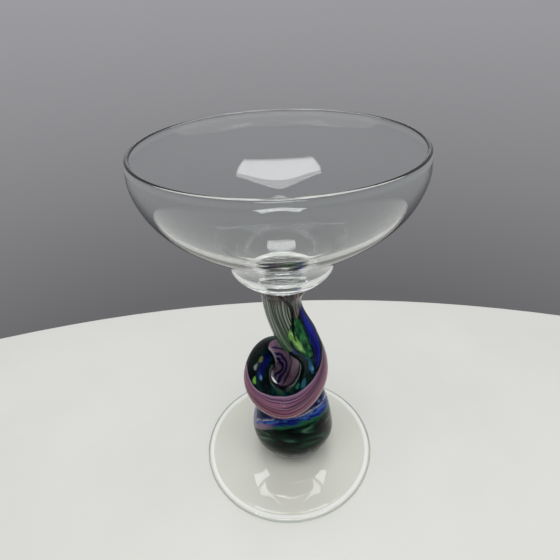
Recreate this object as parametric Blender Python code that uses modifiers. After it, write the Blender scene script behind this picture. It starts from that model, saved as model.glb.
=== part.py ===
"""A stemmed cocktail glass with a wide clear bowl, a curled rod of coloured glass and a clear foot.

Run it with blender --background --python part.py, or from Blender's text editor.
Every length below is in millimetres and MM turns it into metres. +Z is up and -Y is the front.
"""

import math

import bmesh
import bpy
import numpy as np

MM = 0.001

# Driving sizes
HEIGHT = 180.0
RIM_RADIUS = 55.8
FOOT_RADIUS = 48.2
GAP = 0.3

# Bowl: radius and height down its outer side, from just under the rim to the flat under the well
BOWL_OUTLINE = [
    (RIM_RADIUS, 178.9), (56.6, 173), (55.4, 166.5), (51.5, 158.3), (44.2, 150.4), (34.8, 143),
    (27.9, 137), (24.8, 132), (23.1, 127.6), (19.6, 123.2), (14.8, 119.6), (10.6, 117.1),
]
BOWL_BOTTOM = 116.8
RIM_WALL = 1.7
WELL_WALL = 2.4
WELL_FLOOR = 120.4
WELL_FLOOR_RISE = 0.4
BOWL_STEPS = 20
RIM_STEPS = 7

# Clear button between the well and the rod
NECK_MERESE_TOP = BOWL_BOTTOM - GAP
NECK_MERESE_HEIGHT = 3.1
NECK_MERESE_RADIUS = 10.9
NECK_MERESE_X = 0.2

# Stations of the rod from the neck, round the curl and down through the knop: x, y, z of the
# middle, then the half width across the curl's plane view and the half depth front to back
STATIONS = [
    (-0.9, 0, 113, 9.6, 9.5), (-0.5, -0.5, 104, 9.0, 8.9), (1.6, -1.5, 96.5, 9.2, 9.1),
    (4.3, -2.7, 90.5, 9.7, 9.5), (7.6, -4, 85, 9.4, 8.9), (11.7, -5.6, 79.3, 7.6, 8.0),
    (13.6, -7, 72.5, 7.2, 8.4), (13, -9, 66, 7.4, 9.4), (10, -11, 59.3, 7.4, 10.2),
    (5, -12, 53.3, 7.2, 10.8), (-1, -12.5, 50.7, 7.0, 10.9), (-7.6, -12, 52.6, 7.1, 10.3),
    (-12.8, -10.5, 58.1, 7.1, 9.4), (-14.7, -7.5, 64.5, 7.0, 8.6), (-13.2, -2, 68.5, 7.0, 8.2),
    (-8.8, 4.5, 68.4, 7.5, 8.2), (-4, 9.2, 63.5, 8.2, 8.4), (-0.9, 11.2, 54.5, 8.8, 9),
    (3.2, 10.8, 46.6, 10.2, 10.2), (5.4, 8.6, 40.2, 13.2, 13.2), (5.6, 5.6, 33.8, 17.8, 17.8),
    (4.2, 3, 27.4, 21.4, 21.4), (2.9, 1.5, 21.4, 22.9, 22.9), (2.3, 0.6, 15.6, 22.1, 22.1),
    (2.1, 0.1, 10.4, 18.2, 18.2), (2, 0, 6.9, 11.6, 11.6),
]
ROD_END = 0.8
KNOP_START = 0.802
ROD_STEPS = 58
KNOP_STEPS = 20
AROUND = 20
CORE_AROUND = 16

# Layers of the rod, as depths under its surface
CASING_WALL = 1.0
COLOUR_DEPTH = CASING_WALL + GAP
COLOUR_WALL = 1.5
CORE_DEPTH = COLOUR_DEPTH + COLOUR_WALL + GAP

# The casing spreads by FLARE where it meets the bowl, over this share of the route
FLARE_LENGTH = 0.035
FLARE = 1.6

# Colour canes laid on the core: share of the route, then the angles of both edges in degrees.
# 0 is the front of the neck and 90 is its left side, and the angle follows the rod round the curl.
SMOKE_CANE = [(0.002, -82, 178), (0.045, -76, 174), (0.065, -62, 170), (0.08, -16, 164),
              (0.1, 6, 152), (0.13, 22, 112), (0.165, 30, 60)]
COBALT_CANE = [(0.045, -92, -84), (0.064, -93, -70), (0.104, -94, -56), (0.152, -93, -42),
               (0.194, -77, -32), (0.212, -57, -22), (0.238, -22, -10)]
GREEN_CANE = [(0.085, -34, -22), (0.1, -42, -4), (0.11, -46, 8), (0.15, -38, 14),
              (0.175, -32, 18), (0.205, -20, 10)]
ROSE_CANE = [(0.185, -112, -104), (0.203, -126, -92), (0.219, -130, -58), (0.236, -130, -34),
             (0.253, -130, -15), (0.289, -130, 16), (0.334, -130, 47), (0.39, -130, 63),
             (0.436, -130, 65), (0.47, -130, 53), (0.495, -130, 32), (0.517, -130, -4),
             (0.535, -124, -33), (0.556, -116, -62)]
MAUVE_CANE = [(0.594, 8, 76), (0.602, -6, 118), (0.63, -14, 150), (0.7, 36, 196), (0.77, 60, 220)]
CANE_FACE_ANGLE = 18
KNOP_SWIRL_SPAN = (0.812, 0.872)
SWIRL_STEPS = 8

# Foot and the button over it
FOOT_MERESE_TOP = 6.3
FOOT_MERESE_RADIUS = 9.4
FOOT_MERESE_HEIGHT = 1.7
FOOT_MERESE_X = 2.0
FOOT_SEAT = 4.3
FOOT_OUTLINE = [(11.9, FOOT_SEAT), (12.2, 5.8), (16, 5.5), (24, 4.8), (36, 3.6), (46.4, 2.4)]
FOOT_EDGE = 2.0
FOOT_EDGE_STEPS = 6
REST_RING_INNER = 38.0
REST_RING_INSET = 1.6
HOLLOW_SHOULDER = (30.0, 0.49)
FOOT_HOLLOW = 0.7

TURN_STEPS = 48

MATERIALS = {
    "clear_glass": ((0.86, 0.9, 0.89, 1), 0.03),
    "core_glass": ((0.012, 0.03, 0.025, 1), 0.08),
    "smoke_glass": ((0.2, 0.24, 0.2, 1), 0.08),
    "cobalt_glass": ((0.01, 0.02, 0.3, 1), 0.08),
    "green_glass": ((0.08, 0.3, 0.1, 1), 0.08),
    "rose_glass": ((0.3, 0.12, 0.17, 1), 0.08),
    "mauve_glass": ((0.22, 0.12, 0.2, 1), 0.08),
}


def clear_scene():
    for obj in list(bpy.data.objects):
        bpy.data.objects.remove(obj, do_unlink=True)


def make_material(name):
    color, roughness = MATERIALS[name]
    material = bpy.data.materials.new(name)
    material.use_nodes = True
    shader = material.node_tree.nodes["Principled BSDF"]
    shader.inputs["Base Color"].default_value = color
    shader.inputs["Roughness"].default_value = roughness
    shader.inputs["Metallic"].default_value = 0
    material.diffuse_color = color
    return material


def smooth_through(points, shares):
    """A natural cubic spline through the points, read at shares of the route's chord length."""
    rows = np.array(points, float)
    spans = np.linalg.norm(np.diff(rows[:, :3], axis=0), axis=1)
    knots = np.concatenate([[0], np.cumsum(spans)])
    knots /= knots[-1]
    h = np.diff(knots)
    slopes = np.diff(rows, axis=0) / h[:, None]
    system = np.eye(len(rows))
    right = np.zeros_like(rows)
    for i in range(1, len(rows) - 1):
        system[i, i - 1 : i + 2] = h[i - 1], 2 * (h[i - 1] + h[i]), h[i]
        right[i] = 6 * (slopes[i] - slopes[i - 1])
    bend = np.linalg.solve(system, right)
    out = []
    for share in shares:
        i = min(int(np.searchsorted(knots, share, side="right")) - 1, len(h) - 1)
        near = share - knots[i]
        far = knots[i + 1] - share
        out.append(
            (bend[i] * far**3 + bend[i + 1] * near**3) / (6 * h[i])
            + (rows[i] / h[i] - bend[i] * h[i] / 6) * far
            + (rows[i + 1] / h[i] - bend[i + 1] * h[i] / 6) * near
        )
    return np.array(out)


class Route:
    """The rod's middle line, with the directions of its sections carried along without twist."""

    def __init__(self, samples=480):
        self.shares = np.linspace(0, 1, samples + 1)
        rows = smooth_through(STATIONS, self.shares)
        self.middle = rows[:, :3]
        self.half = rows[:, 3:]
        along = np.gradient(self.middle, axis=0)
        self.along = along / np.linalg.norm(along, axis=1)[:, None]
        front = np.array([0.0, -1.0, 0.0])
        fronts = []
        for direction in self.along:
            front = front - direction * (front @ direction)
            front = front / np.linalg.norm(front)
            fronts.append(front)
        self.front = np.array(fronts)
        self.side = np.cross(self.along, self.front)

    def read(self, rows, share):
        return np.array([np.interp(share, self.shares, rows[:, k]) for k in range(rows.shape[1])])

    def point(self, share, angle, depth):
        """The point at this angle of the section, this far under the rod's surface."""
        wide, deep = self.read(self.half, share) - depth
        across = self.read(self.side, share) * wide * math.sin(angle)
        outward = self.read(self.front, share) * deep * math.cos(angle)
        return self.read(self.middle, share) + across + outward


def new_object(name, shape, material, collection):
    """Turns a bmesh into an object of this name and material."""
    mesh = bpy.data.meshes.new(name)
    shape.to_mesh(mesh)
    shape.free()
    mesh.materials.append(material)
    obj = bpy.data.objects.new(name, mesh)
    collection.objects.link(obj)
    return obj


def closed_object(name, shape, material, collection):
    """Points every face outwards, smooths the four-sided ones and makes the object."""
    bmesh.ops.recalc_face_normals(shape, faces=shape.faces)
    for face in shape.faces:
        face.smooth = len(face.verts) == 4
    return new_object(name, shape, material, collection)


def skin(shape, rings):
    """Joins each closed ring of points to the next, and returns the rings as vertices."""
    rows = [[shape.verts.new(point * MM) for point in ring] for ring in rings]
    for near, far in zip(rows, rows[1:]):
        bridge(shape, near, far)
    return rows


def bridge(shape, near, far):
    count = len(near)
    for k in range(count):
        n = (k + 1) % count
        shape.faces.new((near[k], near[n], far[n], far[k]))


def full_turn(count):
    return [2 * math.pi * k / count for k in range(count)]


def flare(share, angle):
    """How far the clear casing spreads to meet the bowl, most on its right side."""
    rise = max(0.0, 1 - share / FLARE_LENGTH)
    return FLARE * rise**2 * (1 - math.sin(angle)) / 2


def sleeve(name, route, shares, outer, inner, material, collection):
    """A tube with open ends: its inner and outer skins are joined by a ring of faces at each end."""
    angles = full_turn(AROUND)
    spread = flare if outer == 0 else lambda share, angle: 0
    shape = bmesh.new()
    outside = skin(shape, [[route.point(s, a, outer - spread(s, a)) for a in angles] for s in shares])
    inside = skin(shape, [[route.point(s, a, inner) for a in angles] for s in shares])
    for end in (0, -1):
        bridge(shape, outside[end], inside[end])
    return closed_object(name, shape, material, collection)


def core(name, route, shares, material, collection):
    """A solid rod at the core's depth, closed by a disc at each end."""
    angles = full_turn(CORE_AROUND)
    shape = bmesh.new()
    rows = skin(shape, [[route.point(s, a, CORE_DEPTH) for a in angles] for s in shares])
    for ring in (rows[0], rows[-1]):
        shape.faces.new(ring)
    return closed_object(name, shape, material, collection)


def cane(name, route, edges, material, collection):
    """A flat ribbon of colour on the core, between the two edge angles given along the route."""
    knots, left, right = np.array(edges, float).T
    steps = max(8, round((knots[-1] - knots[0]) * ROD_STEPS / ROD_END))
    across = max(4, round(max(right - left) / CANE_FACE_ANGLE))
    rings = []
    for share in np.linspace(knots[0], knots[-1], steps + 1):
        ends = np.interp(share, knots, left), np.interp(share, knots, right)
        angles = np.radians(np.linspace(*ends, across + 1))
        outside = [route.point(share, angle, COLOUR_DEPTH) for angle in angles]
        inside = [route.point(share, angle, COLOUR_DEPTH + COLOUR_WALL) for angle in angles]
        rings.append(outside + inside[::-1])
    shape = bmesh.new()
    rows = skin(shape, rings)
    for ring in (rows[0], rows[-1]):
        for k in range(across):
            shape.faces.new((ring[k], ring[k + 1], ring[-2 - k], ring[-1 - k]))
    return closed_object(name, shape, material, collection)


def turned(name, profile, material, collection, x=0.0):
    """Turns a profile of radii and heights about the vertical at this x."""
    shape = bmesh.new()
    verts = [shape.verts.new((r * MM, 0, z * MM)) for r, z in profile]
    for near, far in zip(verts, verts[1:]):
        shape.edges.new((near, far))
    obj = new_object(name, shape, material, collection)
    obj.location.x = x * MM
    screw = obj.modifiers.new("Turn", "SCREW")
    screw.steps = TURN_STEPS
    screw.render_steps = TURN_STEPS
    screw.use_merge_vertices = True
    screw.merge_threshold = 0.00001
    screw.use_smooth_shade = True
    return obj


def arc(middle, radius, start, end, steps):
    """Points round a middle of radius and height, with angles from straight up towards the outside."""
    return [
        (middle[0] + radius * math.sin(a), middle[1] + radius * math.cos(a))
        for a in np.linspace(start, end, steps)
    ]


def bowl_profile():
    """Up the inside of the bowl, over a round rim and down the outside."""
    outer = smooth_through([(r, z, 0) for r, z in BOWL_OUTLINE], np.linspace(0, 1, BOWL_STEPS))[:, :2]
    along = np.gradient(outer, axis=0)
    inward = np.stack([along[:, 1], -along[:, 0]], 1)
    inward /= np.linalg.norm(inward, axis=1)[:, None]
    wall = np.linspace(RIM_WALL, WELL_WALL, BOWL_STEPS)
    inner = (outer + inward * wall[:, None])[1:-1]
    inner = inner[inner[:, 1] > WELL_FLOOR + WELL_FLOOR_RISE][::-1]
    half = RIM_WALL / 2
    rim = arc((outer[0, 0] - half, HEIGHT - half), half, -math.pi / 2, math.pi / 2, RIM_STEPS)
    floor = [(0, WELL_FLOOR), (inner[0, 0] * 0.6, WELL_FLOOR + WELL_FLOOR_RISE * 0.4)]
    return floor + [tuple(p) for p in inner] + rim + [tuple(p) for p in outer[1:]] + [(0, BOWL_BOTTOM)]


def button_profile(radius, top, height, upper_round, lower_round):
    """A flat button whose side leans in a little towards its lower face."""
    low = top - height
    return [(0, top), (radius - upper_round, top), (radius, top - upper_round - 0.1),
            (radius - 0.3, low + lower_round), (radius - 0.9, low), (0, low)]


def foot_profile():
    """A low cone with a seat for the button, a round edge, a flat ring to stand on and a hollow beneath."""
    half = FOOT_EDGE / 2
    middle = FOOT_RADIUS - half
    edge = arc((middle, half + 0.1), half, 0.35, math.pi - 0.25, FOOT_EDGE_STEPS)
    under = [(FOOT_RADIUS - REST_RING_INSET, 0), (REST_RING_INNER, 0), HOLLOW_SHOULDER, (0, FOOT_HOLLOW)]
    return [(0, FOOT_SEAT)] + FOOT_OUTLINE + edge + under


def build():
    clear_scene()
    parts = bpy.data.collections.new("curled_stem_glass")
    bpy.context.scene.collection.children.link(parts)
    glass = {name: make_material(name) for name in MATERIALS}
    clear = glass["clear_glass"]
    route = Route()
    rod = np.linspace(0, ROD_END, ROD_STEPS + 1)
    knop = np.linspace(KNOP_START, 1, KNOP_STEPS + 1)
    swirl = np.linspace(*KNOP_SWIRL_SPAN, SWIRL_STEPS + 1)
    colour_inside = COLOUR_DEPTH + COLOUR_WALL

    turned("bowl", bowl_profile(), clear, parts)
    button = button_profile(NECK_MERESE_RADIUS, NECK_MERESE_TOP, NECK_MERESE_HEIGHT, 0.4, 1)
    turned("neck_merese", button, clear, parts, NECK_MERESE_X)
    sleeve("stem_casing", route, rod, 0, CASING_WALL, clear, parts)
    core("stem_core", route, rod, glass["core_glass"], parts)
    cane("smoke_cane", route, SMOKE_CANE, glass["smoke_glass"], parts)
    cane("cobalt_cane", route, COBALT_CANE, glass["cobalt_glass"], parts)
    cane("green_cane", route, GREEN_CANE, glass["green_glass"], parts)
    cane("rose_cane", route, ROSE_CANE, glass["rose_glass"], parts)
    cane("mauve_cane", route, MAUVE_CANE, glass["mauve_glass"], parts)
    sleeve("knop_casing", route, knop, 0, CASING_WALL, clear, parts)
    sleeve("knop_swirl", route, swirl, COLOUR_DEPTH, colour_inside, glass["cobalt_glass"], parts)
    core("knop_core", route, knop, glass["core_glass"], parts)
    button = button_profile(FOOT_MERESE_RADIUS, FOOT_MERESE_TOP, FOOT_MERESE_HEIGHT, 0.5, 0.4)
    turned("foot_merese", button, clear, parts, FOOT_MERESE_X)
    turned("foot", foot_profile(), clear, parts)


build()
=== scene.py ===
"""Blows, draws and stages a stemmed cocktail glass with a curled stem of coloured glass.

It is laid out as an add-on and run as a script. Every piece stands where the frame's solids stand,
in metres.
"""

import math

import bmesh
import bpy
import numpy as np
from bpy.props import FloatProperty, FloatVectorProperty, IntProperty, PointerProperty
from mathutils import Matrix, Vector


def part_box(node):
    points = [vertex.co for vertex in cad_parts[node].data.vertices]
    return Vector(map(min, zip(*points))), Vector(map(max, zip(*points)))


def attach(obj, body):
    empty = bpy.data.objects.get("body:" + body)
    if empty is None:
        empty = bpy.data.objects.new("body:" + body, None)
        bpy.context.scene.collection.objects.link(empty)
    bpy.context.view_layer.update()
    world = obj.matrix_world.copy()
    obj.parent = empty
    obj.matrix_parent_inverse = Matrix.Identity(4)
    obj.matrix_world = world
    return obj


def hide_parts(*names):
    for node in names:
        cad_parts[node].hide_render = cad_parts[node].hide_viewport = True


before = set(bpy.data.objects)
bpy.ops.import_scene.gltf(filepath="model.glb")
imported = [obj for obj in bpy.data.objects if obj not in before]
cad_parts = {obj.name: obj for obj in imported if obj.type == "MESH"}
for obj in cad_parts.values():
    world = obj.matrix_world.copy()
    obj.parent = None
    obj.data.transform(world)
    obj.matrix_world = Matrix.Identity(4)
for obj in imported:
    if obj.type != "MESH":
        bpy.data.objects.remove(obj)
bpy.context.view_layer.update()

bl_info = {
    "name": "Curled-stem cocktail glass",
    "version": (1, 0, 0),
    "blender": (4, 5, 0),
    "location": "View3D > Sidebar > Glass",
    "description": "A wide clear bowl on a curled rod of coloured glass, with a dark knop and a clear foot",
    "category": "Add Mesh",
}

MM = 0.001
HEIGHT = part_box("bowl")[1][2] / MM
FOOT_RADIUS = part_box("foot")[1][0] / MM
UV = "rod"
BREADTH = "breadth"

# The bowl's outer side, as radius and height in millimetres, with the heights of its underside and of the
# well's floor, and the radius of the rim's bead as a share of the rim wall
BOWL_OUTLINE = [
    (55.8, 178.9), (56.5, 173), (55.4, 166.5), (51.5, 158.3), (44.2, 150.4), (34.8, 143),
    (27.9, 137), (24.8, 132), (23.1, 127.6), (19.6, 123.2), (14.8, 119.6), (10.6, 117.1),
]
BOWL_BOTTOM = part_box("bowl")[0][2] / MM
WELL_FLOOR = 120.4
RIM_BEAD = 0.66

# The foot, in millimetres: the seat of the button, its upper side past that, its edge and its flat ring
FOOT_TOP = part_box("foot")[1][2] / MM
FOOT_SEAT = 4.3
FOOT_SEAT_RADIUS = 11.9
FOOT_EDGE = 1.2
FOOT_EDGE_MIDDLE = FOOT_RADIUS - FOOT_EDGE
FOOT_CONE = [
    (12.3, FOOT_TOP - 0.05), (16, FOOT_TOP - 0.3), (24, FOOT_TOP - 1), (36, FOOT_TOP - 2.2),
    (FOOT_EDGE_MIDDLE - 2.8, 2.1),
]
FOOT_BEAD = [(FOOT_EDGE_MIDDLE - 2.2, 2.12), (FOOT_EDGE_MIDDLE - 1.4, 2.3), (FOOT_EDGE_MIDDLE - 0.7, 2.4)]
REST_RING_INNER = 38
HOLLOW = 0.7

# Where a pale ring is painted on the bead along the foot's edge as a painted highlight, with painted shade
# just outside it, as inner and outer radius in metres
PAINTED_BEAD_HIGHLIGHT = 0.0451, 0.0465

# The clear buttons: node, and the place of the middle in millimetres
BUTTONS = (("neck_merese", (0.2, 0)), ("foot_merese", (2, 0)))

# The rod's stations, as in the frame but a little fuller behind the curl: x, y, z of its middle, half width
# and half depth, in millimetres
STATIONS = [
    (-0.9, 0, 113, 9.6, 9.5), (-0.5, -0.5, 104, 9.0, 8.9), (1.6, -1.5, 96.5, 9.2, 9.1),
    (4.3, -2.7, 90.5, 9.7, 9.5), (7.6, -4, 85, 9.4, 8.9), (11.7, -5.6, 79.3, 7.6, 8.0),
    (13.6, -7, 72.5, 7.2, 8.4), (13, -9, 66, 7.4, 9.4), (10, -11, 59.3, 7.4, 10.2),
    (5, -12, 53.3, 7.2, 10.8), (-1, -12.5, 50.7, 7.0, 10.9), (-7.6, -12, 52.6, 7.1, 10.3),
    (-12.8, -10.5, 58.1, 7.1, 9.4), (-14.7, -7.5, 64.5, 7.0, 8.6), (-13.2, -2, 68.5, 7.0, 8.2),
    (-8.8, 4.5, 68.4, 8.3, 9.0), (-4, 9.2, 63.5, 9.7, 9.7), (-0.9, 11.2, 54.5, 9.9, 9.9),
    (3.2, 10.8, 46.6, 10.2, 10.2), (5.4, 8.6, 40.2, 13.2, 13.2), (5.6, 5.6, 33.8, 17.8, 17.8),
    (4.2, 3, 27.4, 21.4, 21.4), (2.9, 1.5, 21.4, 22.9, 22.9), (2.3, 0.6, 15.6, 22.1, 22.1),
    (2.1, 0.1, 10.4, 18.2, 18.2), (2, 0, 6.9, 11.6, 11.6),
]
KNOP_START = 0.8
SWIRL_START = 0.812
SWIRL_END = 0.858
FLARE_LENGTH = 0.035
FLARE = 1.6

# Where the coloured glass spreads out under the bowl, as a share before the route's start
ROOT = -0.017

# Edges of each cane: share of the route, then both edges' angles in degrees round the rod
CANES = {
    "smoke_cane": [(ROOT, -86, 178), (0.0, -86, 178), (0.05, -78, 174), (0.08, -60, 166),
                   (0.105, -16, 150), (0.13, 8, 112), (0.165, 26, 60)],
    "cobalt_cane": [(0.045, -92, -84), (0.064, -93, -70), (0.104, -94, -56), (0.152, -93, -42),
                    (0.194, -77, -32), (0.212, -57, -22), (0.238, -22, -10)],
    "green_cane": [(0.075, -34, -24), (0.09, -48, -10), (0.11, -50, 12), (0.15, -42, 16),
                   (0.175, -35, 20), (0.205, -22, 12)],
    "rose_cane": [(0.185, -112, -104), (0.203, -126, -92), (0.219, -130, -58), (0.236, -130, -34),
                  (0.253, -130, -15), (0.289, -130, 16), (0.334, -130, 47), (0.372, -130, 66),
                  (0.41, -130, 74), (0.44, -130, 70), (0.47, -130, 53), (0.495, -130, 32), (0.517, -130, -4),
                  (0.535, -124, -33), (0.556, -116, -62)],
    "mauve_cane": [(0.594, 8, 76), (0.602, -6, 118), (0.63, -14, 150), (0.7, 36, 196), (0.77, 60, 220)],
}
# In millimetres, how far the core lies under the casing and how far a cane's edges sink below its crown
CORE_UNDER = 0.3
CANE_SINK = 0.4

# The black thread beside the smoke cane, in the same terms as the canes
BLACK_THREAD = [(-0.013, -1, 14), (0.003, -17, -3), (0.023, -32, -17), (0.055, -38, -24),
                (0.081, -31, -18), (0.112, -14, -6), (0.14, -4, 0)]

# The stage, in metres: the table top, and each window of light as name, place, size and watts
TABLE_RADIUS = 0.75
TABLE_BACK = 0.147
TABLE_DEPTH = 0.02
TABLE_CLEARANCE = 0.00006
WINDOWS = [
    ("top_window", (0.0, -0.275, 1.1), (0.95, 0.4), 6.0),
    ("back_window", (0.0, 0.37, 1.15), (0.5, 0.26), 2.0),
]
LIGHT_BOUNCES = 32
ROOM_TONES = [(0.0, 0.12), (0.22, 0.14), (0.34, 0.23), (0.5, 0.33), (1.0, 0.5)]

# The camera: its place in heights of the glass, its turn, tip and lean in degrees, its lens in millimetres
CAMERA_PLACE = Vector((0, -0.903, 1.248))
CAMERA_TURN, CAMERA_TIP, CAMERA_LEAN = 0.44, 33.33, 2.47
LENS = 27.55


class GlassSettings(bpy.types.PropertyGroup):
    """Sizes and colours of the glass."""

    rim_wall: FloatProperty(name="Rim wall", description="Thickness of the bowl at its rim",
                            default=0.0014, min=0.0008, max=0.003, subtype="DISTANCE", unit="LENGTH")
    well_wall: FloatProperty(name="Well wall", description="Thickness of the bowl round its lower well",
                             default=0.0024, min=0.001, max=0.004, subtype="DISTANCE", unit="LENGTH")
    casing_depth: FloatProperty(name="Casing depth", description="Clear glass over the coloured rod",
                                default=0.0013, min=0.0008, max=0.002, subtype="DISTANCE", unit="LENGTH")
    turns: IntProperty(name="Turn steps", description="Faces round each turned piece",
                       default=144, min=32, max=256)
    clear_tint: FloatVectorProperty(name="Clear glass", description="Tint of the clear glass",
                                    default=(0.965, 0.985, 0.975), min=0, max=1, subtype="COLOR")
    rose: FloatVectorProperty(name="Rose", description="Main colour of the rose cane",
                              default=(0.3, 0.115, 0.165), min=0, max=1, subtype="COLOR")
    cobalt: FloatVectorProperty(name="Cobalt", description="Main colour of the cobalt cane",
                                default=(0.005, 0.008, 0.2), min=0, max=1, subtype="COLOR")
    # The yellow-green of the painted light patch, where light would shine through the green cane
    painted_light_green: FloatVectorProperty(name="Leaf green", description="Bright patches of the green cane",
                              default=(0.2, 0.42, 0.1), min=0, max=1, subtype="COLOR")
    smoke: FloatVectorProperty(name="Smoke", description="Main colour of the smoke cane",
                               default=(0.09, 0.11, 0.085), min=0, max=1, subtype="COLOR")
    mauve: FloatVectorProperty(name="Mauve", description="Main colour of the mauve cane",
                               default=(0.22, 0.12, 0.18), min=0, max=1, subtype="COLOR")
    core: FloatVectorProperty(name="Core", description="Dark glass of the rod and knop",
                              default=(0.003, 0.008, 0.008), min=0, max=1, subtype="COLOR")
    table: FloatVectorProperty(name="Table", description="Pale table top",
                               default=(0.76, 0.76, 0.71), min=0, max=1, subtype="COLOR")


# Routes and sections


def smooth_through(points, shares):
    """A natural cubic spline through the points, read at shares of the route's chord length."""
    rows = np.array(points, float)
    spans = np.linalg.norm(np.diff(rows[:, :3], axis=0), axis=1)
    knots = np.concatenate([[0], np.cumsum(spans)])
    knots /= knots[-1]
    h = np.diff(knots)
    slopes = np.diff(rows, axis=0) / h[:, None]
    system = np.eye(len(rows))
    right = np.zeros_like(rows)
    for i in range(1, len(rows) - 1):
        system[i, i - 1 : i + 2] = h[i - 1], 2 * (h[i - 1] + h[i]), h[i]
        right[i] = 6 * (slopes[i] - slopes[i - 1])
    bend = np.linalg.solve(system, right)
    out = []
    for share in shares:
        i = min(int(np.searchsorted(knots, share, side="right")) - 1, len(h) - 1)
        near = share - knots[i]
        far = knots[i + 1] - share
        out.append(
            (bend[i] * far**3 + bend[i + 1] * near**3) / (6 * h[i])
            + (rows[i] / h[i] - bend[i] * h[i] / 6) * far
            + (rows[i + 1] / h[i] - bend[i + 1] * h[i] / 6) * near
        )
    return np.array(out)


def eased(knots, values, at):
    """A smooth curve through the values, with the slope at each knot taken from its neighbours."""
    slopes = np.gradient(values, knots)
    i = int(np.clip(np.searchsorted(knots, at) - 1, 0, len(knots) - 2))
    span = knots[i + 1] - knots[i]
    t = (at - knots[i]) / span
    return (
        (1 + 2 * t) * (1 - t) ** 2 * values[i]
        + t * (1 - t) ** 2 * span * slopes[i]
        + t**2 * (3 - 2 * t) * values[i + 1]
        + t**2 * (t - 1) * span * slopes[i + 1]
    )


class Route:
    """The rod's middle line, with the directions of its sections carried along without twist."""

    def __init__(self, samples=480):
        self.shares = np.linspace(0, 1, samples + 1)
        rows = smooth_through(STATIONS, self.shares)
        self.middle = rows[:, :3]
        self.half = rows[:, 3:]
        along = np.gradient(self.middle, axis=0)
        self.along = along / np.linalg.norm(along, axis=1)[:, None]
        front = np.array([0.0, -1.0, 0.0])
        fronts = []
        for direction in self.along:
            front = front - direction * (front @ direction)
            front = front / np.linalg.norm(front)
            fronts.append(front)
        self.front = np.array(fronts)
        self.side = np.cross(self.along, self.front)

    def read(self, rows, share):
        return np.array([np.interp(share, self.shares, rows[:, k]) for k in range(rows.shape[1])])

    def point(self, share, angle, depth):
        """The place at this angle of the section, this far under the rod's surface, in metres."""
        before = min(share, 0) / self.shares[1]
        middle = self.read(self.middle, share) + (self.middle[1] - self.middle[0]) * before
        wide, deep = self.read(self.half, share) - depth
        across = self.read(self.side, share) * wide * math.sin(angle)
        outward = self.read(self.front, share) * deep * math.cos(angle)
        return Vector((middle + across + outward) * MM)


ROUTE = Route()


# Mesh work


def finish_piece(name, shape, material, nodes=()):
    """Closes a bmesh into a piece that rides on the glass and stands for its nodes."""
    bmesh.ops.remove_doubles(shape, verts=shape.verts, dist=1e-7)
    bmesh.ops.recalc_face_normals(shape, faces=shape.faces)
    for face in shape.faces:
        face.smooth = True
    mesh = bpy.data.meshes.new(name)
    shape.to_mesh(mesh)
    shape.free()
    mesh.set_sharp_from_angle(angle=math.radians(50))
    mesh.materials.append(material)
    piece = bpy.data.objects.new(name, mesh)
    bpy.context.scene.collection.objects.link(piece)
    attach(piece, "root")
    if nodes:
        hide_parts(*nodes)


def swept(shares, count, place, mark):
    """Draws a ring of count points along the shares. place gives each point, mark its texture place."""
    shape = bmesh.new()
    turn = shape.verts.layers.int.new("turn")
    step = shape.verts.layers.int.new("step")
    ring = bmesh.ops.create_circle(shape, segments=count, radius=MM)["verts"]
    for k, vert in enumerate(ring):
        vert[turn] = k
        vert.co = place(shares[0], k)
    edges = list(shape.edges)
    for n, share in enumerate(shares[1:], 1):
        grown = bmesh.ops.extrude_edge_only(shape, edges=edges)["geom"]
        edges = [part for part in grown if isinstance(part, bmesh.types.BMEdge)]
        for vert in [part for part in grown if isinstance(part, bmesh.types.BMVert)]:
            vert[step] = n
            vert.co = place(share, vert[turn])
    bmesh.ops.holes_fill(shape, edges=[edge for edge in shape.edges if edge.is_boundary], sides=0)
    rod = shape.loops.layers.uv.new(UV)
    breadth = shape.loops.layers.uv.new(BREADTH)
    for face in shape.faces:
        marks = [loop.vert[turn] for loop in face.loops]
        wraps = len(marks) == 4 and max(marks) - min(marks) > 1
        for loop, k in zip(face.loops, marks):
            share = shares[loop.vert[step]]
            angle, across = mark(share, k + count if wraps and k == 0 else k)
            loop[rod].uv = share, angle
            loop[breadth].uv = share, across
    return shape


def round_rod(shares, depth, count=64, across=lambda share, turn: 0.5):
    """A solid rod at this depth under the surface. across gives the breadth to mark on its skin."""
    return swept(
        shares,
        count,
        lambda share, k: ROUTE.point(share, 2 * math.pi * k / count, depth(share, 2 * math.pi * k / count)),
        lambda share, k: (k / count, across(share, k / count)),
    )


def root_spread(share):
    """How far the coloured glass spreads under the bowl."""
    return 1.5 * max(0.0, min(1.0, (0.012 - share) / 0.03)) ** 2


def ribbon(edges, top, foot, across=18, steps=90):
    """A cane laid on the rod: its crown is at depth top, and its edges sink to depth foot."""
    knots, left, right = np.array(edges, float).T
    shares = np.linspace(knots[0], knots[-1], steps + 1)
    count = 2 * (across + 1)

    def spread(k):
        return k / across if k <= across else (count - 1 - k) / across

    def angle(share, k):
        a = eased(knots, left, share)
        b = eased(knots, right, share)
        return a + (b - a) * spread(k)

    def place(share, k):
        crown = 1 - abs(2 * spread(k) - 1) ** 6
        depth = foot - (foot - top) * crown if k <= across else foot + 0.25
        return ROUTE.point(share, math.radians(angle(share, k)), depth - root_spread(share))

    def mark(share, k):
        k = min(k, count - 1)
        return angle(share, k) / 360, spread(k)

    return swept(shares, count, place, mark)


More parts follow.
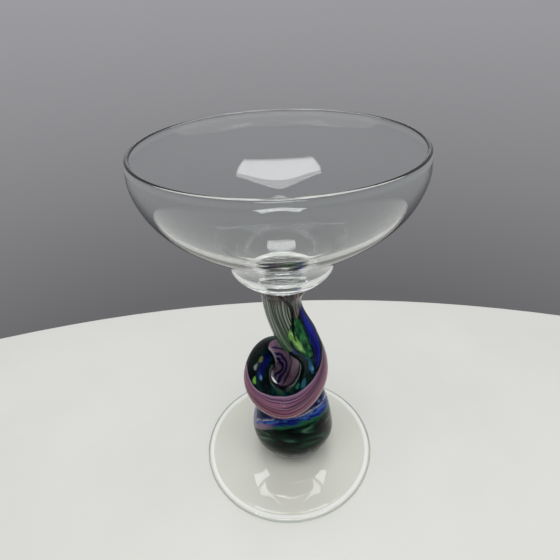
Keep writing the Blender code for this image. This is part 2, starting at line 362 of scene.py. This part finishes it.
def turned(profile, steps, place=(0, 0)):
    """Spins a profile of radii and heights in millimetres about the vertical through place."""
    shape = bmesh.new()
    verts = [shape.verts.new(((place[0] + r) * MM, place[1] * MM, z * MM)) for r, z in profile]
    edges = [shape.edges.new(pair) for pair in zip(verts, verts[1:])]
    bmesh.ops.spin(shape, geom=verts + edges, cent=(place[0] * MM, place[1] * MM, 0), axis=(0, 0, 1),
                   angle=2 * math.pi, steps=steps, use_merge=True)
    bmesh.ops.remove_doubles(shape, verts=shape.verts, dist=1e-6)
    return shape


# Materials


class Paint:
    """A node material under construction."""

    def __init__(self, name):
        self.material = bpy.data.materials.new(name)
        self.material.use_nodes = True
        self.tree = self.material.node_tree
        self.shader = self.tree.nodes["Principled BSDF"]
        self.out = self.tree.nodes["Material Output"]

    def node(self, kind, **settings):
        """Adds a node. Settings that are its own attributes are set; the rest are input sockets."""
        made = self.tree.nodes.new("ShaderNode" + kind)
        for key, value in settings.items():
            if hasattr(made, key):
                setattr(made, key, value)
            else:
                self.feed(made.inputs[key.replace("_", " ")], value)
        return made

    def feed(self, socket, value):
        if isinstance(value, bpy.types.NodeSocket):
            self.tree.links.new(value, socket)
        else:
            socket.default_value = value

    def rod_place(self):
        """The place on the rod: share along it, and turns round it."""
        return self.node("UVMap", uv_map=UV).outputs["UV"]

    def breadth_place(self):
        """The place on a cane: share along it, and breadth from edge to edge."""
        return self.node("UVMap", uv_map=BREADTH).outputs["UV"]

    def feathered(self, color, under, width=0.16, ragged=0.3):
        """Lets the glass under a cane show through its edges, along uneven lines."""
        place = self.breadth_place()
        across = self.node("SeparateXYZ", Vector=place).outputs["Y"]
        away = self.node("Math", operation="PINGPONG")
        self.feed(away.inputs[0], across)
        away.inputs[1].default_value = 0.5
        wobble = self.noise(self.stretched(place, (45, 5, 1)), 1.0, 4.0)
        total = self.plus(wobble, ragged, away.outputs[0])
        shown = self.spread(total, ragged * 0.5 + width * 0.3, ragged * 0.5 + width)
        return self.blend(shown, under, color)

    def object_place(self):
        return self.node("TexCoord").outputs["Object"]

    def stretched(self, source, scale, turn=(0, 0, 0)):
        return self.node("Mapping", Vector=source, Scale=scale, Rotation=turn).outputs["Vector"]

    def noise(self, source, scale, detail=3.0, rough=0.55, twist=0.0):
        made = self.node("TexNoise", Vector=source, Scale=scale, Detail=detail, Roughness=rough)
        made.inputs["Distortion"].default_value = twist
        return made.outputs["Fac"]

    def ramp(self, factor, stops):
        """A smooth run of colours over a factor, from stops of place and colour."""
        made = self.node("ValToRGB", Fac=factor)
        band = made.color_ramp
        band.interpolation = "EASE"
        while len(band.elements) < len(stops):
            band.elements.new(0.5)
        for element, (place, color) in zip(band.elements, stops):
            element.position = place
            element.color = (*color, 1)
        return made.outputs["Color"]

    def spread(self, value, low, high, to_low=0.0, to_high=1.0):
        """Eases value from to_low at low to to_high at high."""
        made = self.node("MapRange", Value=value)
        made.interpolation_type = "SMOOTHSTEP"
        for key, number in zip(("From Min", "From Max", "To Min", "To Max"), (low, high, to_low, to_high)):
            made.inputs[key].default_value = number
        return made.outputs["Result"]

    def times(self, value, factor):
        """value times factor."""
        made = self.node("Math", operation="MULTIPLY")
        self.feed(made.inputs[0], value)
        self.feed(made.inputs[1], factor)
        return made.outputs[0]

    def plus(self, value, factor, added):
        """value times factor, plus added."""
        made = self.node("Math", operation="MULTIPLY_ADD")
        for socket, number in zip(made.inputs, (value, factor, added)):
            self.feed(socket, number)
        return made.outputs[0]

    def blend(self, factor, below, above):
        """Mixes two colours: below at factor 0, above at factor 1."""
        made = self.node("Mix", data_type="RGBA")
        self.feed(made.inputs["Factor"], factor)
        for key, value in (("A", below), ("B", above)):
            socket = [s for s in made.inputs if s.name == key and s.type == "RGBA"][0]
            self.feed(socket, (*value, 1) if isinstance(value, tuple) and len(value) == 3 else value)
        return [s for s in made.outputs if s.type == "RGBA"][0]

    def spot(self, source, middle, size, ragged=0.5):
        """A soft patch on the rod at (share, angle in degrees), with a ragged edge."""
        place = (middle[0], (middle[1] % 360) / 360, 0)
        away = self.node("VectorMath", operation="SUBTRACT")
        self.feed(away.inputs[0], source)
        away.inputs[1].default_value = place
        scaled = self.node("VectorMath", operation="DIVIDE")
        self.feed(scaled.inputs[0], away.outputs[0])
        scaled.inputs[1].default_value = (size[0], size[1] / 360, 1)
        reach = self.node("VectorMath", operation="LENGTH")
        self.feed(reach.inputs[0], scaled.outputs[0])
        wobble = self.noise(self.stretched(source, (90, 14, 1)), 1.0, 4.0)
        total = self.plus(wobble, ragged, reach.outputs["Value"])
        return self.spread(total, 0.55 + ragged / 2, 1.1 + ragged / 2, 1, 0)

    def under_glass(self, color):
        """A coloured layer seen through the casing, so it has no gloss of its own."""
        self.feed(self.shader.inputs["Base Color"], color)
        self.shader.inputs["Roughness"].default_value = 0.6
        self.shader.inputs["Specular IOR Level"].default_value = 0.0
        return self.material


def clear_glass(name, tint, ripple, gloss=1.0, painted_bead_highlight=None):
    """Blown clear glass: slow ripples, a few fine marks, and soft light passes straight through it.

    gloss scales its reflections. The last argument gives the inner and outer radius in metres of a turned
    bead painted pale as a painted highlight, with a darker rim outside it painted as shade.
    """
    paint = Paint(name)
    place = paint.object_place()
    shader = paint.shader
    shader.inputs["Base Color"].default_value = (*tint, 1)
    shader.inputs["Transmission Weight"].default_value = 1.0
    shader.inputs["IOR"].default_value = 1.5
    shader.inputs["Specular Tint"].default_value = (gloss, gloss, gloss, 1)
    marks = paint.noise(place, 60.0, 4.0, 0.6)
    paint.feed(shader.inputs["Roughness"], paint.spread(marks, 0.6, 0.85, 0.0, 0.03))
    waves = paint.noise(paint.stretched(place, (1, 1, 1.6)), 34.0, 1.0, 0.4)
    bump = paint.node("Bump", Strength=ripple, Distance=0.0006, Height=waves)
    paint.feed(shader.inputs["Normal"], bump.outputs["Normal"])
    # Painted highlight: a pale ring painted on the bead, with painted shade as a darker rim outside it
    if painted_bead_highlight:
        flat = paint.stretched(place, (1, 1, 0))
        away = paint.node("VectorMath", operation="LENGTH")
        paint.feed(away.inputs[0], flat)
        inner, outer = painted_bead_highlight
        radius = away.outputs["Value"]
        ring = paint.times(paint.spread(radius, inner - 0.0005, inner, 0, 0.6),
                           paint.spread(radius, outer, outer + 0.0004, 1, 0))
        body = paint.blend(ring, tint, (0.93, 0.93, 0.9))
        painted_shade_rim = paint.spread(radius, outer + 0.0005, outer + 0.0009, 0, 0.8)
        paint.feed(shader.inputs["Base Color"], paint.blend(painted_shade_rim, body, (0.36, 0.42, 0.36)))
        paint.feed(shader.inputs["Transmission Weight"], paint.plus(ring, -1.0, 1.0))
    rays = paint.node("LightPath")
    straight = paint.node("BsdfTransparent", Color=(*(0.97 * part for part in tint), 1))
    through = shader.outputs["BSDF"]
    for kind in ("Is Diffuse Ray", "Is Shadow Ray"):
        mix = paint.node("MixShader")
        paint.feed(mix.inputs[0], rays.outputs[kind])
        paint.feed(mix.inputs[1], through)
        paint.feed(mix.inputs[2], straight.outputs["BSDF"])
        through = mix.outputs[0]
    paint.feed(paint.out.inputs["Surface"], through)
    return paint.material


def rose_paint(settings):
    """Dusty rose drawn out in fine lines: purple lines, salmon towards one side and pale edges."""
    paint = Paint("rose_cane_glass")
    place = paint.breadth_place()
    rose = tuple(settings.rose)
    pale = (0.34, 0.27, 0.36)
    plum = (0.045, 0.014, 0.05)
    breadth = paint.node("SeparateXYZ", Vector=place).outputs["Y"]
    side = paint.ramp(breadth, [
        (0.0, (0.2, 0.12, 0.14)), (0.12, (0.42, 0.15, 0.15)), (0.32, (0.36, 0.14, 0.16)), (0.6, rose),
        (0.85, (0.23, 0.1, 0.17)), (1.0, (0.26, 0.15, 0.26)),
    ])
    broad = paint.noise(paint.stretched(place, (2.5, 8, 1)), 1.0, 2.0, 0.5, 0.1)
    color = paint.blend(paint.spread(broad, 0.45, 0.58, 0, 0.75), side, tuple(0.5 * c for c in rose))
    fine = paint.noise(paint.stretched(place, (2.2, 19, 1)), 1.0, 1.5, 0.5)
    color = paint.blend(paint.spread(fine, 0.53, 0.6, 0, 0.8), color, plum)
    thin = paint.noise(paint.stretched(place, (2, 30, 2)), 1.0, 1.0, 0.4)
    color = paint.blend(paint.spread(thin, 0.58, 0.66, 0, 0.5), color, pale)
    edge = paint.ramp(breadth, [
        (0.0, (0.5, 0.5, 0.5)), (0.03, (0, 0, 0)), (0.925, (0, 0, 0)), (0.94, (1, 1, 1)),
        (0.955, (0, 0, 0)), (0.985, (0, 0, 0)), (1.0, (0.8, 0.8, 0.8)),
    ])
    return paint.under_glass(paint.blend(edge, color, pale))


def cobalt_paint(settings):
    """Cobalt with navy streaks drawn along it."""
    paint = Paint("cobalt_cane_glass")
    place = paint.breadth_place()
    cobalt = tuple(settings.cobalt)
    streak = paint.noise(paint.stretched(place, (12, 5, 1)), 1.0, 3.0, 0.6, 0.4)
    color = paint.ramp(streak, [(0.36, (0.002, 0.003, 0.05)), (0.52, cobalt), (0.7, (0.01, 0.03, 0.34))])
    return paint.under_glass(paint.feathered(color, (0.002, 0.006, 0.03), 0.12, 0.2))


def green_paint(settings):
    """Deep green, with yellow-green painted along one side as painted light shining through the cane."""
    paint = Paint("green_cane_glass")
    place = paint.breadth_place()
    streak = paint.noise(paint.stretched(place, (40, 4, 1)), 1.0, 4.0, 0.62, 0.8)
    deep = paint.ramp(streak, [
        (0.34, (0.002, 0.008, 0.008)), (0.5, (0.012, 0.075, 0.03)), (0.62, (0.04, 0.2, 0.06)),
        (0.74, (0.12, 0.36, 0.12)),
    ])
    painted_light_green = paint.ramp(streak, [
        (0.34, (0.03, 0.12, 0.03)), (0.5, tuple(settings.painted_light_green)), (0.68, (0.42, 0.62, 0.2)),
    ])
    # Painted light: a patch on one side turns yellow-green as if light shone through the cane
    painted_light_patch = paint.spot(paint.rod_place(), (0.14, 3), (0.045, 15), 0.7)
    color = paint.blend(painted_light_patch, deep, painted_light_green)
    return paint.under_glass(paint.feathered(color, (0.003, 0.014, 0.012), 0.16, 0.4))


def smoke_paint(settings):
    """Grey-green glass in upright lines, brown and pink near the bowl and greener near the curl."""
    paint = Paint("smoke_cane_glass")
    place = paint.rod_place()
    smoke = tuple(settings.smoke)
    lines = paint.noise(paint.stretched(place, (4, 58, 1), (0, 0, -0.03)), 1.0, 1.5, 0.5, 0.1)
    color = paint.ramp(lines, [(0.39, (0.012, 0.015, 0.012)), (0.46, tuple(0.8 * c for c in smoke)),
                               (0.54, tuple(1.5 * c for c in smoke)), (0.62, (0.32, 0.34, 0.29))])
    along = paint.node("SeparateXYZ", Vector=place).outputs["X"]
    warm = paint.noise(paint.stretched(place, (7, 26, 1), (0, 0, -0.3)), 1.0, 2.0, 0.5, 0.3)
    brown = paint.ramp(warm, [
        (0.4, (0.012, 0.01, 0.012)), (0.5, (0.1, 0.06, 0.06)), (0.6, (0.28, 0.19, 0.19)),
        (0.72, (0.45, 0.38, 0.38)),
    ])
    turns = paint.node("SeparateXYZ", Vector=place).outputs["Y"]
    right = paint.spread(turns, -0.2, -0.04, 0.85, 0)
    color = paint.blend(right, color, brown)
    color = paint.blend(paint.spread(along, -0.002, 0.03, 0.9, 0), color, brown)
    color = paint.blend(paint.spread(along, 0.09, 0.14, 0, 0.6), color, (0.03, 0.11, 0.035))
    return paint.under_glass(paint.feathered(color, (0.004, 0.008, 0.02), 0.06, 0.06))


def mauve_paint(settings):
    """Mauve with broad navy stripes and a pale line along its leading edge."""
    paint = Paint("mauve_cane_glass")
    place = paint.rod_place()
    mauve = tuple(settings.mauve)
    navy = (0.004, 0.008, 0.06)
    parts = paint.node("SeparateXYZ", Vector=place).outputs
    slant = paint.plus(parts["X"], -2.36, paint.plus(parts["Y"], 1.0, 1.1636))
    wobble = paint.noise(paint.stretched(place, (22, 9, 1), (0, 0, 1.2)), 1.0, 3.0, 0.55, 0.3)
    across = paint.plus(slant, 2.0, paint.plus(wobble, 0.16, 0.72))
    color = paint.ramp(across, [
        (0.0, tuple(0.8 * c for c in mauve)), (0.34, mauve), (0.39, navy), (0.43, mauve),
        (0.49, tuple(1.2 * c for c in mauve)), (0.52, navy), (0.565, (0.01, 0.02, 0.13)), (0.595, mauve),
        (0.62, tuple(1.25 * c for c in mauve)), (0.64, navy), (0.69, navy), (0.72, mauve),
        (0.78, tuple(1.3 * c for c in mauve)), (0.8, (0.42, 0.34, 0.41)), (0.83, mauve),
        (1.0, (0.15, 0.1, 0.17)),
    ])
    dark = paint.noise(paint.stretched(place, (40, 6, 1)), 1.0, 3.0, 0.6, 0.5)
    color = paint.blend(paint.spread(dark, 0.5, 0.68, 0, 0.6), color, (0.02, 0.02, 0.06))
    ends = paint.ramp(parts["X"], [(0.595, (1, 1, 1)), (0.602, (0, 0, 0))])
    return paint.under_glass(paint.blend(ends, color, (0.4, 0.33, 0.4)))


def core_paint(settings):
    """Near-black glass with a navy and bottle-green cast and the flecks that broke through it."""
    paint = Paint("stem_core_glass")
    place = paint.rod_place()
    cast = paint.noise(paint.stretched(place, (26, 7, 1)), 1.0, 4.0, 0.6, 0.6)
    color = paint.ramp(cast, [(0.4, (0.001, 0.002, 0.003)), (0.52, tuple(settings.core)),
                              (0.62, (0.003, 0.022, 0.02)), (0.74, (0.005, 0.014, 0.07))])
    flecks = [
        ((0.192, 0), (0.03, 22), (0.012, 0.09, 0.13)), ((0.186, -4), (0.012, 9), (0.03, 0.2, 0.28)),
        ((0.24, 8), (0.022, 16), (0.02, 0.1, 0.2)), ((0.243, 2), (0.009, 9), (0.08, 0.25, 0.42)),
        ((0.3, 38), (0.018, 12), (0.02, 0.1, 0.14)), ((0.322, 58), (0.012, 9), (0.03, 0.13, 0.1)),
        ((0.155, 28), (0.035, 9), (0.006, 0.02, 0.14)), ((0.175, -46), (0.03, 12), (0.006, 0.05, 0.08)),
        ((0.35, 76), (0.03, 12), (0.004, 0.03, 0.016)), ((0.45, 80), (0.05, 16), (0.004, 0.04, 0.02)),
        ((0.56, 30), (0.03, 26), (0.002, 0.004, 0.05)), ((0.539, 20), (0.007, 8), (0.01, 0.016, 0.2)),
        ((0.532, 26), (0.006, 8), (0.08, 0.2, 0.4)), ((0.57, 42), (0.012, 12), (0.005, 0.008, 0.09)),
        ((0.529, -2), (0.007, 15), (0.14, 0.36, 0.05)), ((0.551, -2), (0.006, 15), (0.16, 0.18, 0.18)),
        ((0.567, 8), (0.007, 11), (0.09, 0.11, 0.02)),
    ]
    for middle, size, tone in flecks:
        color = paint.blend(paint.spot(place, middle, size, 1.3), color, tone)
    return paint.under_glass(color)


def knop_paint(settings):
    """Bottle-green glass, almost black, with mottles wound round the knop."""
    paint = Paint("knop_core_glass")
    place = paint.rod_place()
    mottle = paint.noise(paint.stretched(place, (46, 7, 1), (0, 0, 0.05)), 1.0, 5.0, 0.62, 1.2)
    color = paint.ramp(mottle, [(0.43, (0.001, 0.002, 0.002)), (0.53, (0.002, 0.01, 0.006)),
                                (0.6, (0.008, 0.042, 0.022)), (0.68, (0.07, 0.14, 0.09))])
    return paint.under_glass(color)


def swirl_paint(settings):
    """The band wound on the knop: a pale line, then cobalt and sky blue, then green into the dark."""
    paint = Paint("knop_swirl_glass")
    place = paint.rod_place()
    breadth = paint.node("SeparateXYZ", Vector=paint.breadth_place()).outputs["Y"]
    wobble = paint.noise(paint.stretched(place, (50, 6, 1)), 1.0, 4.0, 0.6, 0.9)
    across = paint.plus(wobble, 0.6, breadth)
    color = paint.ramp(across, [
        (0.28, (0.002, 0.006, 0.005)), (0.38, (0.006, 0.05, 0.02)), (0.5, (0.02, 0.12, 0.05)),
        (0.55, (0.01, 0.03, 0.2)), (0.62, tuple(settings.cobalt)), (0.7, (0.05, 0.16, 0.5)),
        (0.76, (0.01, 0.02, 0.25)), (0.82, (0.42, 0.46, 0.5)), (0.87, (0.1, 0.07, 0.14)),
        (0.94, (0.02, 0.03, 0.13)), (1.0, (0.006, 0.01, 0.04)),
    ])
    flecks = paint.noise(paint.stretched(place, (70, 9, 1)), 1.0, 4.0, 0.65, 1.0)
    color = paint.blend(paint.spread(flecks, 0.5, 0.62, 0, 0.85), color, (0.004, 0.012, 0.06))
    sky = paint.noise(paint.stretched(place, (90, 14, 3)), 1.0, 3.0, 0.6, 0.6)
    color = paint.blend(paint.spread(sky, 0.62, 0.7, 0, 0.8), color, (0.22, 0.36, 0.55))
    turns = paint.node("SeparateXYZ", Vector=place).outputs["Y"]
    left = paint.ramp(turns, [(0.38, (0, 0, 0)), (0.44, (1, 1, 1)), (0.56, (1, 1, 1)), (0.62, (0, 0, 0))])
    pink = paint.ramp(across, [(0.35, (0, 0, 0)), (0.42, (1, 1, 1)), (0.62, (1, 1, 1)), (0.7, (0, 0, 0))])
    return paint.under_glass(paint.blend(paint.times(left, pink), color, (0.24, 0.15, 0.22)))


def thread_paint():
    """A black thread with a slightly brown run."""
    paint = Paint("black_thread_glass")
    place = paint.rod_place()
    run = paint.noise(paint.stretched(place, (30, 2, 1)), 1.0, 2.0)
    return paint.under_glass(paint.ramp(run, [(0.4, (0.001, 0.001, 0.001)), (0.7, (0.006, 0.004, 0.004))]))


def table_paint(settings):
    """Matt off-white table top with a faint grain and a few specks."""
    paint = Paint("table_top_paint")
    place = paint.object_place()
    tone = tuple(settings.table)
    cloud = paint.noise(place, 9.0, 4.0)
    color = paint.ramp(cloud, [(0.35, tuple(0.96 * c for c in tone)), (0.65, tone)])
    paint.feed(paint.shader.inputs["Base Color"], color)
    grain = paint.noise(place, 700.0, 2.0)
    bump = paint.node("Bump", Strength=0.08, Distance=0.0002, Height=grain)
    paint.feed(paint.shader.inputs["Normal"], bump.outputs["Normal"])
    paint.shader.inputs["Roughness"].default_value = 0.5
    return paint.material


def shared_clear(context):
    """The clear glass of every turned piece, made once."""
    name = "clear_blown_glass"
    made = bpy.data.materials.get(name)
    return made or clear_glass(name, tuple(context.scene.glass_settings.clear_tint), 0.12)


# Operators


class GLASS_OT_bowl(bpy.types.Operator):
    """Blow the wide bowl with its small lower well"""

    bl_idname = "curled_glass.bowl"
    bl_label = "Blow the bowl"

    def execute(self, context):
        settings = context.scene.glass_settings
        rim_wall = settings.rim_wall / MM
        outer = smooth_through([(r, z, 0) for r, z in BOWL_OUTLINE], np.linspace(0, 1, 72))[:, :2]
        along = np.gradient(outer, axis=0)
        inward = np.stack([along[:, 1], -along[:, 0]], 1)
        inward /= np.linalg.norm(inward, axis=1)[:, None]
        wall = np.linspace(rim_wall, settings.well_wall / MM, len(outer))
        inner = (outer + inward * wall[:, None])[1:]
        inner = inner[inner[:, 1] > WELL_FLOOR + 0.4][::-1]
        half = rim_wall * RIM_BEAD
        middle = (outer[0, 0] - half, HEIGHT - half)
        rim = [(middle[0] - half * math.cos(a), middle[1] + half * math.sin(a))
               for a in np.linspace(0, math.pi, 13)]
        start = inner[0, 0]
        rise = inner[0, 1] - WELL_FLOOR
        floor = [(start * t, WELL_FLOOR + rise * t**3) for t in np.linspace(0, 0.93, 9)]
        profile = floor + [tuple(p) for p in inner] + rim + [tuple(p) for p in outer[1:]]
        profile += [(outer[-1, 0] * 0.97, BOWL_BOTTOM), (0, BOWL_BOTTOM)]
        finish_piece("bowl_glass", turned(profile, settings.turns), shared_clear(context),
                     ["bowl"])
        return {"FINISHED"}


class GLASS_OT_buttons(bpy.types.Operator):
    """Drop the clear buttons that join the bowl and the foot to the stem"""

    bl_idname = "curled_glass.buttons"
    bl_label = "Add the clear buttons"

    def execute(self, context):
        for node, place in BUTTONS:
            low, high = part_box(node)
            radius = (high[0] - low[0]) / 2 / MM
            bottom, top = low[2] / MM, high[2] / MM
            bulge = (top - bottom) / 2
            side = [(radius - bulge * 0.4 * (1 - math.sin(a)), (top + bottom) / 2 + bulge * math.cos(a))
                    for a in np.linspace(0.15, math.pi - 0.15, 13)]
            profile = [(0, top)] + side + [(0, bottom)]
            finish_piece(node + "_glass", turned(profile, 96, place), shared_clear(context),
                         [node])
        return {"FINISHED"}


class GLASS_OT_foot(bpy.types.Operator):
    """Spread the clear foot, a low cone with a round edge"""

    bl_idname = "curled_glass.foot"
    bl_label = "Spread the foot"

    def execute(self, context):
        slope = smooth_through([(r, z, 0) for r, z in FOOT_CONE], np.linspace(0, 1, 22))[:, :2]
        cone = [(0, FOOT_SEAT), (FOOT_SEAT_RADIUS, FOOT_SEAT)] + [tuple(row) for row in slope]
        edge = [(FOOT_EDGE_MIDDLE + FOOT_EDGE * math.sin(a), FOOT_EDGE + FOOT_EDGE * math.cos(a))
                for a in np.linspace(-0.1, math.pi - 0.3, 15)]
        under = [(FOOT_EDGE_MIDDLE - 0.4, 0), (REST_RING_INNER, 0)]
        under += [(r, HOLLOW * (1 - (r / REST_RING_INNER) ** 2)) for r in np.linspace(36, 0, 10)]
        profile = cone + FOOT_BEAD + edge + under
        tint = 0.985, 0.985, 0.965
        finish_piece("foot_glass", turned(profile, context.scene.glass_settings.turns),
                     clear_glass("foot_clear_glass", tint, 0.3, painted_bead_highlight=PAINTED_BEAD_HIGHLIGHT),
                     ["foot"])
        return {"FINISHED"}


class GLASS_OT_cores(bpy.types.Operator):
    """Draw the dark core of the rod and gather the dark knop"""

    bl_idname = "curled_glass.cores"
    bl_label = "Draw the dark core"

    def execute(self, context):
        settings = context.scene.glass_settings
        depth = settings.casing_depth / MM + CORE_UNDER
        rod = round_rod(np.linspace(ROOT, KNOP_START, 204), lambda share, angle: depth - root_spread(share))
        finish_piece("stem_core_glass", rod, core_paint(settings), ["stem_core"])
        knop = round_rod(np.linspace(KNOP_START + 0.0005, 0.998, 72), lambda share, angle: depth)
        finish_piece("knop_core_glass", knop, knop_paint(settings), ["knop_core"])
        return {"FINISHED"}


class GLASS_OT_canes(bpy.types.Operator):
    """Lay the coloured canes and the black thread along the core"""

    bl_idname = "curled_glass.canes"
    bl_label = "Lay the coloured canes"

    def execute(self, context):
        settings = context.scene.glass_settings
        top = settings.casing_depth / MM
        paints = {"smoke": smoke_paint, "cobalt": cobalt_paint, "green": green_paint,
                  "rose": rose_paint, "mauve": mauve_paint}
        for node, edges in CANES.items():
            word = node.split("_")[0]
            shape = ribbon(edges, top, top + CANE_SINK)
            finish_piece(node + "_glass", shape, paints[word](settings), [node])
        thread = ribbon(BLACK_THREAD, top - 0.15, top + 0.2, across=6)
        finish_piece("black_thread_glass", thread, thread_paint())
        return {"FINISHED"}


class GLASS_OT_swirl(bpy.types.Operator):
    """Wind the cobalt and green band round the knop's shoulder"""

    bl_idname = "curled_glass.swirl"
    bl_label = "Wind the knop's band"

    def execute(self, context):
        settings = context.scene.glass_settings
        top = settings.casing_depth / MM

        def end(turn):
            """The share where the band stops, further down the knop at its left."""
            away = min(turn, 1 - turn) * 2
            return SWIRL_END + 0.08 * away**2.2

        def depth(share, angle):
            fade = min((share - SWIRL_START + 0.002) / 0.01, (end(angle / (2 * math.pi)) - share) / 0.012, 1)
            return top + 0.45 - 0.45 * max(-0.3, fade)

        band = round_rod(np.linspace(SWIRL_START, 0.95, 90), depth, 96,
                         lambda share, turn: (end(turn % 1) - share) / 0.05)
        finish_piece("knop_swirl_glass", band, swirl_paint(settings), ["knop_swirl"])
        return {"FINISHED"}


class GLASS_OT_casing(bpy.types.Operator):
    """Gather clear glass over the whole stem and knop"""

    bl_idname = "curled_glass.casing"
    bl_label = "Gather the clear casing"

    def execute(self, context):
        def depth(share, angle):
            rise = max(0.0, 1 - share / FLARE_LENGTH)
            return -FLARE * rise**2 * (1 - math.sin(angle)) / 2

        tint = tuple(context.scene.glass_settings.clear_tint)
        shape = round_rod(np.linspace(0, 1, 280), depth, 80)
        glass = clear_glass("clear_casing_glass", tint, 0.12, 0.15)
        finish_piece("casing_glass", shape, glass, ["stem_casing", "knop_casing"])
        return {"FINISHED"}


class GLASS_OT_stage(bpy.types.Operator):
    """Set the pale table, the soft lights and the camera"""

    bl_idname = "curled_glass.stage"
    bl_label = "Set the stage"

    def execute(self, context):
        self.table(context)
        self.room(context)
        self.lights(context)
        self.camera(context)
        return {"FINISHED"}

    def table(self, context):
        shape = bmesh.new()
        bmesh.ops.create_cone(shape, cap_ends=True, segments=180, radius1=TABLE_RADIUS, radius2=TABLE_RADIUS,
                              depth=TABLE_DEPTH)
        sink = TABLE_DEPTH / 2 + TABLE_CLEARANCE
        bmesh.ops.translate(shape, vec=(0, TABLE_BACK - TABLE_RADIUS, -sink), verts=shape.verts)
        rims = [edge for edge in shape.edges if abs(edge.verts[0].co.z - edge.verts[1].co.z) < MM]
        bmesh.ops.bevel(shape, geom=rims, offset=0.003, affect="EDGES", segments=4, profile=0.5, material=-1)
        mesh = bpy.data.meshes.new("table_top")
        shape.to_mesh(mesh)
        shape.free()
        mesh.materials.append(table_paint(context.scene.glass_settings))
        table = bpy.data.objects.new("table_top", mesh)
        context.scene.collection.objects.link(table)

    def room(self, context):
        """A grey room, darker low down and pale overhead."""
        world = bpy.data.worlds.new("soft_room")
        world.use_nodes = True
        tree = world.node_tree
        tree.nodes.clear()
        place = tree.nodes.new("ShaderNodeTexCoord")
        parts = tree.nodes.new("ShaderNodeSeparateXYZ")
        ramp = tree.nodes.new("ShaderNodeValToRGB")
        back = tree.nodes.new("ShaderNodeBackground")
        out = tree.nodes.new("ShaderNodeOutputWorld")
        half = tree.nodes.new("ShaderNodeMath")
        half.operation = "MULTIPLY_ADD"
        half.inputs[1].default_value = 0.5
        half.inputs[2].default_value = 0.5
        band = ramp.color_ramp
        while len(band.elements) < len(ROOM_TONES):
            band.elements.new(0.5)
        for element, (at, level) in zip(band.elements, ROOM_TONES):
            element.position = at
            element.color = (level, level, level * 1.05, 1)
        tree.links.new(place.outputs["Generated"], parts.inputs[0])
        tree.links.new(parts.outputs["Z"], half.inputs[0])
        tree.links.new(half.outputs[0], ramp.inputs["Fac"])
        tree.links.new(ramp.outputs["Color"], back.inputs["Color"])
        tree.links.new(back.outputs[0], out.inputs["Surface"])
        back.inputs["Strength"].default_value = 1.0
        context.scene.world = world
        context.scene.view_settings.view_transform = "Standard"
        for kind in ("max_bounces", "glossy_bounces", "transmission_bounces"):
            setattr(context.scene.cycles, kind, LIGHT_BOUNCES)

    def lights(self, context):
        """Two overhead windows of soft light, each turned to face the glass."""
        for name, place, size, power in WINDOWS:
            lamp = bpy.data.lights.new(name, "AREA")
            lamp.shape = "RECTANGLE"
            lamp.size, lamp.size_y = size
            lamp.energy = power
            stand = bpy.data.objects.new(name, lamp)
            stand.location = place
            aim = Vector((0, 0, HEIGHT * MM / 2)) - Vector(place)
            stand.rotation_euler = aim.to_track_quat("-Z", "Y").to_euler()
            context.scene.collection.objects.link(stand)

    def camera(self, context):
        turn, tip, lean = map(math.radians, (CAMERA_TURN, CAMERA_TIP, CAMERA_LEAN))
        right = Vector((math.cos(turn), math.sin(turn), 0))
        level = Vector((-math.sin(turn), math.cos(turn), 0))
        ahead = level * math.cos(tip) - Vector((0, 0, math.sin(tip)))
        up = level * math.sin(tip) + Vector((0, 0, math.cos(tip)))
        side = right * math.cos(lean) - up * math.sin(lean)
        top = right * math.sin(lean) + up * math.cos(lean)
        lens = bpy.data.cameras.new("camera")
        lens.lens = LENS
        lens.sensor_width = 36
        lens.clip_start = 0.01
        camera = bpy.data.objects.new("camera", lens)
        camera.matrix_world = Matrix((side, top, -ahead)).transposed().to_4x4()
        camera.location = CAMERA_PLACE * HEIGHT * MM
        context.scene.collection.objects.link(camera)
        context.scene.camera = camera


class GLASS_PT_sidebar(bpy.types.Panel):
    """Sizes, colours and steps of the glass"""

    bl_idname = "GLASS_PT_sidebar"
    bl_label = "Curled-stem glass"
    bl_space_type = "VIEW_3D"
    bl_region_type = "UI"
    bl_category = "Glass"

    def draw(self, context):
        settings = context.scene.glass_settings
        for name in GlassSettings.__annotations__:
            self.layout.prop(settings, name)
        for step in STEPS:
            self.layout.operator(step.bl_idname)


STEPS = (GLASS_OT_bowl, GLASS_OT_buttons, GLASS_OT_foot, GLASS_OT_cores, GLASS_OT_canes,
         GLASS_OT_swirl, GLASS_OT_casing, GLASS_OT_stage)
CLASSES = (GlassSettings, *STEPS, GLASS_PT_sidebar)


def register():
    for kind in CLASSES:
        bpy.utils.register_class(kind)
    bpy.types.Scene.glass_settings = PointerProperty(type=GlassSettings)


def unregister():
    del bpy.types.Scene.glass_settings
    for kind in reversed(CLASSES):
        bpy.utils.unregister_class(kind)


def main():
    register()
    for step in STEPS:
        group, name = step.bl_idname.split(".")
        getattr(getattr(bpy.ops, group), name)()


if __name__ == "__main__":
    main()
